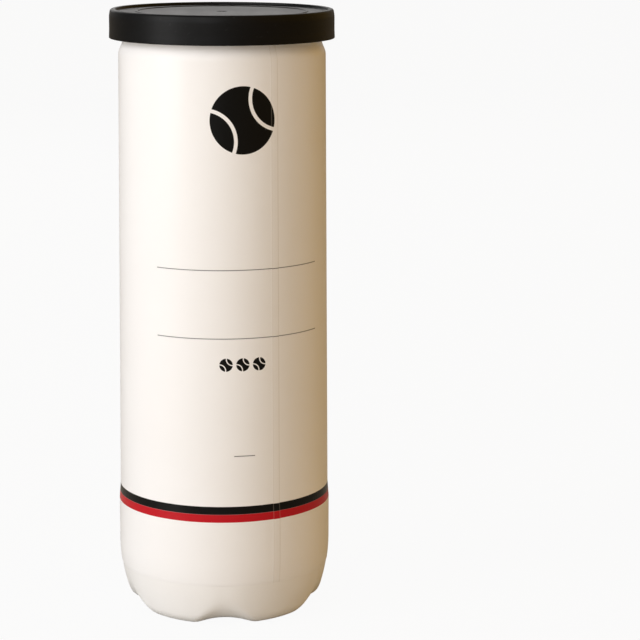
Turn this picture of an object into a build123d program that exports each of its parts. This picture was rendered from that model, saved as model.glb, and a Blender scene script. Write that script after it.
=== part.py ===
from build123d import *
from math import acos, asin, atan, atan2, cos, radians, sin, sqrt
import os

os.makedirs("parts", exist_ok=True)

# A pressurised can for three balls: a blown plastic body with a five-footed base, a shrunk-on
# sleeve, a full-aperture aluminium ring-pull end and a plastic overcap.
# Millimetres. The origin is the centre of the base on the plane of the feet; +Z runs up the can
# and the front of the can faces -Y.

# Balls
ball_diameter = 66.5
ball_names = ("bottom_ball", "middle_ball", "top_ball")
ball_turns = (20.0, 75.0, -35.0)  # how each ball lies about the can's axis, in degrees
ball_gap = 0.3  # between one ball and the next, and under the bottom one
felt_thickness = 3.2
core_wall = 3.4
seam_groove_radius = 1.4
seam_groove_depth = 0.9  # from the felt's face to the middle of the round groove
seam_recess = 0.45  # how far the cement lies under the felt's face
seam_joint_width = 0.8  # of the cement between two panels' edges, from the groove down to the rubber
seam_bond_gap = 0.02  # hairline between the cement and the felt beside it
felt_waist_angle = 28.0  # half the width of a felt panel's waist, seen from the ball's middle

# Can body: the clearances lie between a ball and the inside of the wall
body_wall = 0.6
hip_clearance = 3.75  # the widest part, just above the base
hip_start = 24.7
step_start = 39.5
step_height = 5.5
waist_clearance = 3.3  # at the foot of the straight wall, which leans inwards from there
top_clearance = 2.15  # at the head of the straight wall
shoulder_height = 5.8
groove_clearance = 0.6  # where the shoulder pulls in under the end
groove_to_neck = 2.6

# Base
foot_count = 5
foot_width = 4.0
foot_setback = 10.1  # from the hip to the foot's outer edge
toe_radius = 7.0
base_rise = 5.0  # underside of the dome above the feet
valley_floor_radius = 15.2
valley_fade = 0.4  # from the valley's upper end to the hip
valley_height = 16.2
valley_round = 28.0  # radius of a valley's round cross-section
valley_inner_angle = 30.0
valley_outer_angle = 90.0

# Sleeve
sleeve_thickness = 0.15
sleeve_overrun = 0.8  # past the tightest point of the shoulder groove

# Ring-pull end
sheet = 0.25
panel_sheet = 0.3
seam_height = 3.0
seam_round = 0.45
panel_headroom = 1.7  # from the top ball to the panel's underside
panel_drop = 4.2  # from the top of the seam down to the panel's face
countersink_drop = 5.3
countersink_width = 2.0
lip_width = 0.8  # from the score to the countersink
opening_clearance = 0.5  # between a ball and the panel's edge
panel_fit = 0.05  # torn score between panel and ring
compound_thickness = 0.45
flange_wall = 0.4
cover_hook_gap = 0.1  # between the end's hook and the body's flange
body_hook_gap = 0.45  # between the body's hook and the seam's fold
panel_bead_inset = 13.75  # from the panel's edge
panel_bead_width = 1.6
panel_bead_depth = 0.12

# Pull tab
tab_length = 32.0
tab_thickness = 1.5
tab_gap = 0.12  # between the panel and the tab
tab_ring_radius = 11.0
tab_hole_radius = 7.6
tab_nose_width = 15.0
tab_nose_radius = 3.0
tab_nose_inset = 0.9  # from the panel's edge to the nose
tab_edge = 0.6
island_length = 8.6
island_width = 8.0
island_thickness = 0.4
island_corner = 2.4
island_gap = 0.35  # between the island and the tab's window round it
island_setback = 3.3  # from the nose to the island's near edge
rivet_radius = 1.6
rivet_fit = 0.03
rivet_head_radius = 2.7
rivet_head_height = 0.5
rivet_head_round = 0.3

# Overcap
cap_wall = 0.75
cap_top_wall = 0.9
cap_seat_gap = 0.1  # between the seam and the cap's ceiling
cap_skirt_gap = 0.35  # between the seam and the skirt
cap_bead_gap = 0.05  # the inner bead just passes over the seam
cap_bead_height = 0.9
cap_skirt_drop = 8.0  # from the top of the seam to the skirt's lower edge
cap_flare = 0.12
cap_shoulder = 1.8
cap_rim_height = 1.0
cap_rim_width = 2.4
cap_rim_slope = 0.25
cap_ring_inset = 8.1  # from the seam's edge to the raised ring on the cap's face
cap_ring_width = 0.9
cap_ring_height = 0.25

# Balls in the stack, and the heights that follow from them
ball_radius = ball_diameter / 2
ball_pitch = ball_diameter + ball_gap
lowest_ball = base_rise + body_wall + ball_gap + ball_radius
stack_top = lowest_ball + (len(ball_names) - 1) * ball_pitch + ball_radius
panel_under = stack_top + panel_headroom
panel_top = panel_under + panel_sheet
seam_top = panel_top + panel_drop
seam_bottom = seam_top - seam_height
countersink_floor = seam_top - countersink_drop
flange_top = seam_top - sheet - compound_thickness
groove_height = countersink_floor - groove_to_neck
shoulder_start = groove_height - shoulder_height
step_end = step_start + step_height

# Radii that follow
panel_radius = ball_radius + opening_clearance
opening_radius = panel_radius + panel_fit
step_radius = opening_radius + lip_width
neck_inner = step_radius + countersink_width
neck_radius = neck_inner + body_wall
cover_hook_outer = neck_radius + sheet
hook_outer = cover_hook_outer + flange_wall
seam_radius = hook_outer + sheet
hip_radius = ball_radius + hip_clearance + body_wall
waist_radius = ball_radius + waist_clearance + body_wall
wall_top_radius = ball_radius + top_clearance + body_wall
groove_radius = ball_radius + groove_clearance + body_wall
foot_outer = hip_radius - foot_setback
foot_inner = foot_outer - foot_width

# The tab lies along +X with its nose just inside the score
nose_x = panel_radius - tab_nose_inset
ring_x = nose_x - tab_length + tab_ring_radius
rivet_x = nose_x - island_setback - island_length / 2
tab_under = panel_top + tab_gap

# Seam of a ball: four equal arcs of circles on the sphere, two round the ends of one felt panel and
# two round the ends of the other. Neighbouring arcs meet with one tangent, on the plane between the
# panels' waists, and half a turn about seam_flip takes one panel to the other.
diagonal = sqrt(0.5)
waist_angle = radians(felt_waist_angle)
lobe_tilt = atan((diagonal - sin(waist_angle)) / cos(waist_angle))
lobe_angle = acos(cos(lobe_tilt) * diagonal)
seam_flip = Axis((0, 0, 0), (0, 1, 1))


def ring(r_low, r_high, z_low, z_high):
    """A flat ring about the can's axis."""
    width = r_high - r_low
    height = z_high - z_low
    section = Plane.XZ * Pos(r_low + width / 2, z_low + height / 2) * Rectangle(width, height)
    return revolve(section, Axis.Z)


def round_edge(shape, radius, height, size):
    """Fillets the level circle of the given radius and height."""
    found = [
        edge
        for edge in shape.edges().filter_by(GeomType.CIRCLE)
        if abs(edge.radius - radius) < sheet / 10 and abs(edge.center().Z - height) < sheet / 10
    ]
    return fillet(found, size)


def polar(centre, radius, angle):
    """A point of a circle in the half-section."""
    return Vector(centre.X + radius * cos(angle), centre.Y + radius * sin(angle))


def s_curve(start, end):
    """Two equal arcs from an upright start to an upright end, above it and nearer the axis."""
    inwards = start.X - end.X
    rise = end.Y - start.Y
    turn = 2 * atan(inwards / rise)
    radius = rise / (2 * sin(turn))
    low = Vector(start.X - radius, start.Y)
    high = Vector(end.X + radius, end.Y)
    middle = polar(low, radius, turn)
    return [
        ThreePointArc(start, polar(low, radius, turn / 2), middle),
        ThreePointArc(middle, polar(high, -radius, turn / 2), end),
    ]


def body_outline(grow):
    """The can's outside as a closed half-section, with every wall moved outwards by grow."""
    dome_radius = (foot_inner**2 + base_rise**2) / (2 * base_rise)
    dome_reach = asin(foot_inner / dome_radius)
    dome_centre = Vector(0, base_rise - dome_radius)
    dome_top = Vector(0, base_rise - grow)
    dome_side = polar(dome_centre, dome_radius - grow, radians(90) - dome_reach / 2)
    pad_start = Vector(foot_inner, -grow)
    # The toe arc leaves the foot level, and the heel arc runs on from it and ends upright.
    reach = hip_radius - foot_outer
    climb = hip_start - toe_radius
    heel_radius = (reach**2 + climb**2 - toe_radius**2) / (2 * (reach - toe_radius))
    toe = Vector(foot_outer, toe_radius)
    heel = Vector(hip_radius - heel_radius, hip_start)
    meet = atan2(toe.Y - heel.Y, toe.X - heel.X)
    pad_end = Vector(foot_outer, -grow)
    toe_side = polar(toe, toe_radius + grow, (meet + radians(-90)) / 2)
    toe_end = polar(toe, toe_radius + grow, meet)
    heel_side = polar(heel, heel_radius + grow, meet / 2)
    hip = Vector(hip_radius + grow, hip_start)
    step = Vector(hip_radius + grow, step_start)
    waist = Vector(waist_radius + grow, step_end)
    shoulder = Vector(wall_top_radius + grow, shoulder_start)
    groove = Vector(groove_radius + grow, groove_height)
    neck = Vector(neck_radius + grow, countersink_floor)
    mouth = Vector(neck_radius + grow, flange_top)
    mouth_centre = Vector(0, flange_top)
    edges = [
        ThreePointArc(dome_top, dome_side, pad_start),
        Line(pad_start, pad_end),
        ThreePointArc(pad_end, toe_side, toe_end),
        ThreePointArc(toe_end, heel_side, hip),
        Line(hip, step),
        Line(step, waist),
        Line(waist, shoulder),
        *s_curve(shoulder, groove),
        Line(groove, neck),
        Line(neck, mouth),
        Line(mouth, mouth_centre),
        Line(mouth_centre, dome_top),
    ]
    return Plane.XZ * make_face(Curve() + edges)


def valley(grow):
    """One round-bottomed channel of the base, facing +X and widened by grow."""
    centre = Vector(hip_radius - valley_fade - valley_floor_radius, 0, valley_height)
    reach = valley_floor_radius + valley_round
    inner = radians(valley_inner_angle)
    start = centre + Vector(-reach * sin(inner), 0, -reach * cos(inner))
    onwards = Vector(cos(inner), 0, -sin(inner))
    section = Plane(origin=start, z_dir=onwards) * Circle(valley_round + grow)
    return revolve(section, Axis(centre, (0, -1, 0)), valley_inner_angle + valley_outer_angle)


def blown_shape(grow):
    """The body filled in solid, with a valley between each foot and the next, one at the front."""
    shape = revolve(body_outline(grow), Axis.Z)
    tool = valley(-grow)
    for i in range(foot_count):
        shape = shape - Rot(0, 0, i * 360 / foot_count - 90) * tool
    return shape


def make_can_body():
    shell = blown_shape(0) - blown_shape(-body_wall)
    flange = ring(neck_inner, hook_outer, flange_top - flange_wall, flange_top)
    hook = ring(cover_hook_outer, hook_outer, seam_bottom + sheet + body_hook_gap, flange_top)
    return shell + flange + hook


def make_sleeve_label():
    skin = revolve(body_outline(sleeve_thickness), Axis.Z) - revolve(body_outline(0), Axis.Z)
    return skin & ring(0, 2 * hip_radius, valley_height, groove_height + sleeve_overrun)


def make_end_ring():
    chuck_inner = neck_inner - sheet
    fold = ring(chuck_inner, seam_radius, seam_bottom, seam_top)
    fold = round_edge(fold, seam_radius, seam_top, seam_round)
    fold = round_edge(fold, chuck_inner, seam_top, seam_round)
    fold = round_edge(fold, seam_radius, seam_bottom, seam_round)
    fold = fold - ring(neck_inner, hook_outer, seam_bottom + sheet, seam_top - sheet)
    fold = fold - ring(neck_inner, neck_radius, seam_bottom - sheet, seam_top - sheet)
    cover_hook = ring(neck_radius, cover_hook_outer, seam_bottom, flange_top - flange_wall - cover_hook_gap)
    chuck_wall = ring(chuck_inner, neck_inner, countersink_floor, seam_bottom)
    countersink = ring(step_radius, neck_inner, countersink_floor, countersink_floor + sheet)
    step = ring(step_radius, step_radius + sheet, countersink_floor, panel_top)
    lip = ring(opening_radius, step_radius + sheet, panel_under, panel_top)
    return fold + cover_hook + chuck_wall + countersink + step + lip


def make_seam_gasket():
    return ring(neck_inner, hook_outer, flange_top, flange_top + compound_thickness)


def make_tear_panel():
    disc = ring(0, panel_radius, panel_under, panel_top)
    bead_outer = panel_radius - panel_bead_inset + panel_bead_width
    bead_inner = panel_radius - panel_bead_inset
    # The pressed bead stops short of the rivet, where the tab's island sits flat.
    bead = ring(bead_inner, bead_outer, panel_top - panel_bead_depth, panel_top)
    bead = bead - Pos(rivet_x, 0, panel_top) * Box(island_length * 2, tab_nose_width * 2, panel_drop)
    head_under = panel_top + island_thickness
    stem_height = head_under - panel_under
    stem = Pos(rivet_x, 0, panel_under + stem_height / 2) * Cylinder(rivet_radius, stem_height)
    head = Pos(rivet_x, 0, head_under + rivet_head_height / 2) * Cylinder(rivet_head_radius, rivet_head_height)
    head = fillet(head.edges().group_by(Axis.Z)[-1], rivet_head_round)
    return disc - bead + stem + head


def make_tab_island():
    plate = Pos(rivet_x, 0, panel_top + island_thickness / 2) * Box(island_length, island_width, island_thickness)
    plate = fillet(plate.edges().filter_by(Axis.Z), island_corner)
    return plate - Pos(rivet_x, 0, panel_top) * Cylinder(rivet_radius + rivet_fit, panel_drop)


def make_pull_tab():
    corner_y = tab_nose_width / 2 - tab_nose_radius
    corner_x = nose_x - tab_nose_radius
    corners = [Pos(corner_x, side * corner_y) * Circle(tab_nose_radius) for side in (-1, 1)]
    outline = make_hull((Pos(ring_x, 0) * Circle(tab_ring_radius)).edges() + corners[0].edges() + corners[1].edges())
    body = Pos(0, 0, tab_under) * extrude(outline, tab_thickness)
    body = fillet(body.edges().group_by(Axis.Z)[-1], tab_edge)
    body = fillet(body.edges().group_by(Axis.Z)[0], tab_edge)
    window = Box(island_length + 2 * island_gap, island_width + 2 * island_gap, panel_drop)
    window = fillet(window.edges().filter_by(Axis.Z), island_corner + island_gap)
    hole = Cylinder(tab_hole_radius, panel_drop)
    return body - Pos(rivet_x, 0, tab_under) * window - Pos(ring_x, 0, tab_under) * hole


def make_overcap():
    inner = seam_radius + cap_skirt_gap
    outer = inner + cap_wall
    ceiling = seam_top + cap_seat_gap
    face = ceiling + cap_top_wall
    rim_top = face + cap_rim_height
    rim_inner = outer - cap_rim_width
    lower = seam_top - cap_skirt_drop
    bead_inner = seam_radius + cap_bead_gap
    bead_top = seam_bottom - cap_bead_gap
    turn = Vector(outer - cap_shoulder, rim_top - cap_shoulder)
    outline = [
        Polyline(
            (0, ceiling),
            (inner, ceiling),
            (inner, bead_top),
            (bead_inner, bead_top - cap_bead_height / 2),
            (inner, bead_top - cap_bead_height),
            (inner, lower),
            (outer + cap_flare, lower),
            (outer, rim_top - cap_shoulder),
        ),
        ThreePointArc(
            (outer, rim_top - cap_shoulder),
            polar(turn, cap_shoulder, radians(45)),
            (outer - cap_shoulder, rim_top),
        ),
        Polyline(
            (outer - cap_shoulder, rim_top),
            (rim_inner + cap_rim_slope, rim_top),
            (rim_inner, face),
            (0, face),
            (0, ceiling),
        ),
    ]
    shell = revolve(Plane.XZ * make_face(Curve() + outline), Axis.Z)
    ring_outer = seam_radius - cap_ring_inset
    return shell + ring(ring_outer - cap_ring_width, ring_outer, face, face + cap_ring_height)


def make_seam_channel(narrowing=0):
    """The channel along a ball's whole seam, down into the rubber, with the ball's middle at the origin."""
    axis = Vector(sin(lobe_tilt), 0, cos(lobe_tilt))
    centre = axis * cos(lobe_angle)
    start = Vector(0, diagonal, diagonal)
    crest = Vector(cos(waist_angle), 0, sin(waist_angle))
    half_sweep = (start - centre).get_angle(crest - centre)
    groove_middle = start * (ball_radius - seam_groove_depth)
    joint = Pos(-felt_thickness / 2, 0) * Rectangle(felt_thickness, seam_joint_width - 2 * narrowing)
    across = Plane(origin=groove_middle, x_dir=start, z_dir=start.cross(axis))
    section = across * (Circle(seam_groove_radius - narrowing) + joint)
    upper = revolve(section, Axis((0, 0, 0), -axis), 2 * half_sweep)
    pair = upper + upper.rotate(Axis.X, 180)
    return pair + pair.rotate(seam_flip, 180)


def make_ball():
    """The five pieces of a ball by name, with its middle at the origin."""
    core_radius = ball_radius - felt_thickness
    core = Sphere(core_radius) - Sphere(core_radius - core_wall)
    upper_half = Pos(0, 0, ball_radius) * Box(ball_diameter, ball_diameter, ball_diameter)
    # The channel parts the felt into two dog-bone panels: the waist of felt_a faces -X.
    channel = make_seam_channel()
    skin = Sphere(ball_radius) - Sphere(core_radius)
    felt_a, felt_b = (skin - channel).solids().sort_by(Axis.X)
    cement = Sphere(ball_radius - seam_recess) - Sphere(core_radius)
    return {
        "core_lower": core - upper_half,
        "core_upper": core & upper_half,
        "felt_a": felt_a,
        "felt_b": felt_b,
        "seam": make_seam_channel(seam_bond_gap) & cement,
    }


nodes = {
    "can_body": make_can_body(),
    "sleeve_label": make_sleeve_label(),
    "end_ring": make_end_ring(),
    "seam_gasket": make_seam_gasket(),
    "tear_panel": make_tear_panel(),
    "tab_island": make_tab_island(),
    "pull_tab": make_pull_tab(),
    "overcap": make_overcap(),
}
ball_pieces = make_ball()
for index, name in enumerate(ball_names):
    place = Pos(0, 0, lowest_ball + index * ball_pitch) * Rot(0, 0, ball_turns[index])
    for piece, shape in ball_pieces.items():
        nodes[f"{name}_{piece}"] = place * shape

for name, shape in nodes.items():
    shape.label = name
    export_step(shape, f"parts/{name}.step")
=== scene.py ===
import math
import bmesh
import bpy
import numpy as np
from mathutils import Matrix, Vector, geometry


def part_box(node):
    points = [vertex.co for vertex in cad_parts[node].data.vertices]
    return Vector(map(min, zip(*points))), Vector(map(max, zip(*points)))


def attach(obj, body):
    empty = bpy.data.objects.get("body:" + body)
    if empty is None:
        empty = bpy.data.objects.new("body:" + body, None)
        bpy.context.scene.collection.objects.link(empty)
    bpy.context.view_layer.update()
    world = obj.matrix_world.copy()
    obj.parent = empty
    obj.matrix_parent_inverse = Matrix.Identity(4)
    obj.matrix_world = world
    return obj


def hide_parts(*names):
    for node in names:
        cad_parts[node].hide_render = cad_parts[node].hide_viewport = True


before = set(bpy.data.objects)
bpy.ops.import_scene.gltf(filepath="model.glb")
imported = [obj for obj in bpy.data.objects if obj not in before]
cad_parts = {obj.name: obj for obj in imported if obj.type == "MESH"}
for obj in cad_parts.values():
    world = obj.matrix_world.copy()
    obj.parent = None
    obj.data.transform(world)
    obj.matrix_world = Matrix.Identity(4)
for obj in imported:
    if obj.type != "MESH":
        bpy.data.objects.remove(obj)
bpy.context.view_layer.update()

mm = 0.001
ballNames = ("bottom_ball", "middle_ball", "top_ball")
pieceCount = 0


class Val:
    # an output socket: sums and products of values add Math nodes
    def __init__(self, tree, socket):
        self.tree = tree
        self.socket = socket

    def __add__(self, other):
        return self.tree.math("ADD", self, other)

    def __sub__(self, other):
        return self.tree.math("SUBTRACT", self, other)

    def __rsub__(self, other):
        return self.tree.math("SUBTRACT", other, self)

    def __mul__(self, other):
        return self.tree.math("MULTIPLY", self, other)

    def __neg__(self):
        return self.tree.math("MULTIPLY", self, -1.0)

    __radd__ = __add__
    __rmul__ = __mul__


class Nodes:
    # a node tree that is written as expressions
    def __init__(self, tree):
        self.tree = tree

    def node(self, kind, settings=None, inputs=None, out=0):
        made = self.tree.nodes.new(kind)
        for key, value in (settings or {}).items():
            setattr(made, key, value)
        for key, value in (inputs or {}).items():
            if isinstance(value, Val):
                self.tree.links.new(value.socket, made.inputs[key])
            else:
                made.inputs[key].default_value = value
        return Val(self, made.outputs[out])

    def math(self, operation, *values):
        return self.node("ShaderNodeMath", {"operation": operation}, dict(enumerate(values)))

    def mix(self, factor, first, second):
        inputs = {0: factor, 6: first, 7: second}
        return self.node("ShaderNodeMix", {"data_type": "RGBA"}, inputs, out=2)

    def rise(self, value, place, soft):
        # 0 below the place and 1 above it, softened over a width
        inputs = {"Value": value, "From Min": place - soft / 2, "From Max": place + soft / 2}
        return self.node("ShaderNodeMapRange", {"interpolation_type": "SMOOTHSTEP"}, inputs)

    def between(self, value, low, high, soft):
        return self.rise(value, low, soft) * (1 - self.rise(value, high, soft))

    def distance(self, x, y):
        return self.math("SQRT", x * x + y * y)

    def noise(self, where, scale, detail=2.0, stretch=None):
        if stretch:
            where = self.node("ShaderNodeMapping", None, {"Vector": where, "Scale": stretch})
        inputs = {"Vector": where, "Scale": scale, "Detail": detail}
        return self.node("ShaderNodeTexNoise", None, inputs)


class Finish(Nodes):
    # one material with its shader, and the object's own coordinates in millimetres
    def __init__(self, name, **constants):
        self.material = bpy.data.materials.new(name)
        self.material.use_nodes = True
        super().__init__(self.material.node_tree)
        self.shader = self.tree.nodes["Principled BSDF"]
        for key, value in constants.items():
            self.shader.inputs[key.replace("_", " ")].default_value = value
        self.where = self.node("ShaderNodeTexCoord", None, None, out="Object")
        split = self.node("ShaderNodeSeparateXYZ", None, {0: self.where}).socket.node
        self.x, self.y, self.z = (Val(self, split.outputs[i]) * (1 / mm) for i in range(3))

    def feed(self, name, value):
        self.tree.links.new(value.socket, self.shader.inputs[name])

    def bump(self, height, distance, strength=1.0):
        inputs = {"Height": height, "Distance": distance * mm, "Strength": strength}
        self.feed("Normal", self.node("ShaderNodeBump", None, inputs))


def shade(red, green, blue):
    # a colour as it is seen on a screen, 0 to 255, made linear
    def linear(part):
        part = part / 255
        return part / 12.92 if part <= 0.04045 else ((part + 0.055) / 1.055) ** 2.4
    return (linear(red), linear(green), linear(blue), 1.0)


sleevePrint = {
    "artAngle": 11.0,        # degrees from the front towards +X, where the print is centred
    "wallRadius": 36.8,
    "blackBand": (42.3, 45.07),
    "redBand": (39.53, 42.3),
    "ruleHeights": (128.0, 104.3),
    "ruleHalf": 31.5,
    "ruleThickness": 0.30,
    "markHeight": 95.2,
    "markPitch": 5.8,
    "markShift": -0.5,
    "markTurn": 0.72,        # radians the seam lines lean
    "markRadius": 2.3,
    "dashHeight": 63.0,
    "dashHalf": 3.65,
    "emblemHeight": 179.0,
    "emblemRadius": 11.5,
    "emblemTurn": 0.5,
    "lapStart": 27.0,
    "lapEnd": 31.0,
    "lapShift": 0.07,        # how far the bands miss each other at the film's lap
    "edge": 0.14,
}


def ballMark(tree, u, v, radius, turn):
    # a plain ball seen from the side: a disc with two curved seam lines left out of it
    disc = 1 - tree.rise(tree.distance(u, v), radius, sleevePrint["edge"])
    reach = 1.30 * radius
    seam = None
    for side in (-1, 1):
        across = u - side * reach * math.cos(turn)
        along = v - side * reach * math.sin(turn)
        gap = tree.math("ABSOLUTE", tree.distance(across, along) - 0.92 * radius)
        line = 1 - tree.rise(gap, max(0.055 * radius, 0.17), sleevePrint["edge"])
        seam = line if seam is None else tree.math("MAXIMUM", seam, line)
    return disc * (1 - seam)


def makeSleeveFilm():
    spec = sleevePrint
    film = Finish("sleeveFilm", Specular_IOR_Level=0.16, Coat_Roughness=0.12, Coat_IOR=1.4)
    angle = film.math("ARCTAN2", film.x, -film.y) * math.degrees(1)
    lap = film.between(angle, spec["lapStart"], spec["lapEnd"], 0.15)
    u = (angle - spec["artAngle"]) * (math.radians(1) * spec["wallRadius"])
    z = film.z + lap * spec["lapShift"]
    soft = spec["edge"]
    ink = film.between(z, *spec["blackBand"], soft)
    half = spec["ruleThickness"] / 2
    for height in spec["ruleHeights"]:
        line = film.between(z, height - half, height + half, soft)
        rule = line * film.between(u, -spec["ruleHalf"], spec["ruleHalf"], soft)
        ink = film.math("MAXIMUM", ink, rule * 0.8)
    dash = film.between(z, spec["dashHeight"] - half, spec["dashHeight"] + half, soft)
    dash = dash * film.between(u, -spec["dashHalf"], spec["dashHalf"], soft)
    ink = film.math("MAXIMUM", ink, dash * 0.85)
    for index in (-1, 0, 1):
        v = z - spec["markHeight"]
        across = u - (spec["markShift"] + index * spec["markPitch"])
        mark = ballMark(film, across, v, spec["markRadius"], spec["markTurn"])
        ink = film.math("MAXIMUM", ink, mark)
    emblem = ballMark(film, u, z - spec["emblemHeight"], spec["emblemRadius"], spec["emblemTurn"])
    ink = film.math("MAXIMUM", ink, emblem)
    red = film.between(z, *spec["redBand"], soft)
    cloud = film.noise(film.where, 28.0, 3.0)
    paper = film.mix(cloud, shade(250, 248, 248), shade(246, 243, 242))
    lapLine = film.between(angle, spec["lapStart"] - 0.1, spec["lapStart"] + 0.35, 0.2)
    lapLine = lapLine + film.between(angle, spec["lapEnd"] - 0.35, spec["lapEnd"] + 0.1, 0.2)
    paper = film.mix(lap * 0.05 + lapLine * 0.09, paper, shade(196, 188, 176))
    colour = film.mix(red, paper, shade(190, 22, 34))
    colour = film.mix(ink, colour, shade(8, 8, 8))
    colour = film.mix(lapLine * 0.12, colour, shade(214, 206, 196))
    film.feed("Base Color", colour)
    scuff = film.noise(film.where, 160.0, 6.0, (1.0, 1.0, 0.25))
    film.feed("Roughness", 0.27 + scuff * 0.12 - ink * 0.04)
    film.feed("Coat Weight", 0.10 + cloud * 0.08 - ink * 0.06)
    peel = film.noise(film.where, 420.0, 2.0)
    wave = film.noise(film.where, 14.0, 1.0, (1.0, 1.0, 0.12))
    film.bump(peel * 0.02 + wave * 0.35 + ink * 0.01, 1.0, 0.35)
    return film.material


def makeBodyPlastic():
    body = Finish("bodyPlastic", Specular_IOR_Level=0.35, Coat_Roughness=0.08)
    cloud = body.noise(body.where, 45.0, 3.0)
    tint = body.mix(cloud, shade(249, 247, 246), shade(245, 242, 240))
    body.feed("Base Color", tint)
    body.feed("Roughness", 0.24 + body.noise(body.where, 220.0, 5.0) * 0.14)
    body.feed("Coat Weight", 0.10 + cloud * 0.10)
    flow = body.noise(body.where, 60.0, 2.0, (1.0, 1.0, 0.35))
    body.bump(flow * 0.12 + body.noise(body.where, 700.0) * 0.01, 1.0, 0.4)
    return body.material


def makeCapPlastic():
    cap = Finish("capPlastic", Specular_IOR_Level=0.12, Coat_Roughness=0.3)
    cloud = cap.noise(cap.where, 60.0, 3.0)
    dust = cap.rise(cap.noise(cap.where, 900.0, 4.0), 0.68, 0.10)
    tint = cap.mix(cloud, shade(8, 8, 9), shade(14, 14, 15))
    cap.feed("Base Color", cap.mix(dust * 0.06, tint, shade(90, 90, 90)))
    grain = cap.noise(cap.where, 1500.0, 2.0)
    rub = cap.noise(cap.where, 120.0, 5.0, (1.0, 0.2, 1.0))
    cap.feed("Roughness", 0.34 + rub * 0.16 + grain * 0.06)
    cap.feed("Coat Weight", 0.02 + rub * 0.04)
    radius = cap.distance(cap.x, cap.y)
    turning = cap.math("SINE", radius * 9.0) * 0.004    # faint circles left by the mould's lathe
    cap.bump(grain * 0.03 + turning + cloud * 0.05, 1.0, 0.5)
    return cap.material


def makeMetal(name, tint, rough, stretch=None):
    # lines drawn out along a stretch, or without one circles turned about the can's axis
    metal = Finish(name, Metallic=1.0, IOR=1.45)
    cloud = metal.noise(metal.where, 90.0, 3.0)
    if stretch is None:
        radius = metal.distance(metal.x, metal.y) * mm
        turned = metal.node("ShaderNodeCombineXYZ", None, {0: radius, 2: metal.z * (0.2 * mm)})
        lines = metal.noise(turned, 2600.0, 4.0)
    else:
        lines = metal.noise(metal.where, 900.0, 4.0, stretch)
    low = tuple(part * 0.88 for part in tint[:3]) + (1.0,)
    metal.feed("Base Color", metal.mix(cloud * 0.6 + lines * 0.4, low, tint))
    metal.feed("Roughness", rough + lines * 0.14 + cloud * 0.05)
    metal.bump(lines * 0.012 + cloud * 0.05, 1.0, 0.5)
    return metal.material


def makeMatte(name, dark, light, grain, depth):
    matte = Finish(name)
    fleck = matte.noise(matte.where, grain, 4.0)
    matte.feed("Base Color", matte.mix(fleck, dark, light))
    matte.feed("Roughness", 0.72 + fleck * 0.2)
    matte.bump(fleck * depth, 1.0, 0.6)
    return matte.material


def makeBallFelt(name, low, high):
    felt = Finish(name, Sheen_Weight=0.45, Sheen_Roughness=0.5)
    felt.shader.inputs["Sheen Tint"].default_value = shade(248, 246, 140)
    tuft = felt.noise(felt.where, 330.0, 5.0)
    patch = felt.noise(felt.where, 55.0, 3.0)
    felt.feed("Base Color", felt.mix(tuft * 0.6 + patch * 0.4, low, high))
    felt.feed("Roughness", 0.85 + tuft * 0.12)
    felt.bump(tuft * 0.5 + felt.noise(felt.where, 1400.0, 3.0) * 0.15, 1.0, 0.7)
    return felt.material


finishes = {
    "sleeve_film": makeSleeveFilm(),
    "body_plastic": makeBodyPlastic(),
    "cap_plastic": makeCapPlastic(),
    "end_metal": makeMetal("endMetal", (0.80, 0.80, 0.81, 1.0), 0.20),
    "panel_metal": makeMetal("panelMetal", (0.80, 0.80, 0.82, 1.0), 0.24, (0.05, 1.0, 1.0)),
    "tab_metal": makeMetal("tabMetal", (0.76, 0.76, 0.78, 1.0), 0.22, (0.1, 1.0, 1.0)),
    "seam_compound": makeMatte("seamCompound", shade(176, 168, 150), shade(196, 190, 176), 500.0, 0.02),
    "ball_rubber": makeMatte("ballRubber", shade(44, 42, 40), shade(64, 61, 58), 600.0, 0.04),
    "ball_seam": makeMatte("ballSeam", shade(226, 228, 196), shade(240, 241, 218), 800.0, 0.02),
    "ball_felt": makeBallFelt("ballFelt", shade(206, 215, 26), shade(239, 242, 66)),
}
fuzzFinish = makeBallFelt("feltFuzz", shade(221, 229, 56), shade(245, 247, 106))
print("finishes made:", len(finishes) + 1)


def addObject(name, data):
    made = bpy.data.objects.new(name, data)
    bpy.context.scene.collection.objects.link(made)
    return made


def meshObject(name, corners, faces, finish, sharp):
    # a smooth mesh with its normals outwards, and hard edges where it bends by more than sharp degrees
    mesh = bpy.data.meshes.new(name)
    mesh.from_pydata([tuple(corner) for corner in corners], [], faces)
    work = bmesh.new()
    work.from_mesh(mesh)
    bmesh.ops.recalc_face_normals(work, faces=work.faces)
    work.to_mesh(mesh)
    work.free()
    mesh.shade_smooth()
    mesh.set_sharp_from_angle(angle=math.radians(sharp))
    mesh.materials.append(finish)
    return addObject(name, mesh)


def skinRings(rings, startPole=None, endPole=None, loop=False):
    # quads between closed rings of corners, with a fan to a pole at either end
    count, around = rings.shape[:2]
    corners = list(rings.reshape(-1, 3))
    faces = []
    steps = count if loop else count - 1
    for i in range(steps):
        low = i * around
        high = ((i + 1) % count) * around
        for j in range(around):
            k = (j + 1) % around
            faces.append((low + j, low + k, high + k, high + j))
    for pole, first in ((startPole, 0), (endPole, (count - 1) * around)):
        if pole is not None:
            corners.append(np.array(pole))
            tip = len(corners) - 1
            faces += [(tip, first + j, first + (j + 1) % around) for j in range(around)]
    return corners, faces


def turnOutline(outline, around):
    # rings about the can's axis from (radius, height) points in millimetres, at even or given angles
    angles = around if np.ndim(around) else np.linspace(0, 2 * math.pi, around, endpoint=False)
    points = np.array(outline) * mm
    x = points[:, :1] * np.sin(angles)
    y = -points[:, :1] * np.cos(angles)
    z = np.repeat(points[:, 1:2], len(angles), axis=1)
    return np.stack([x, y, z], axis=2)


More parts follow.
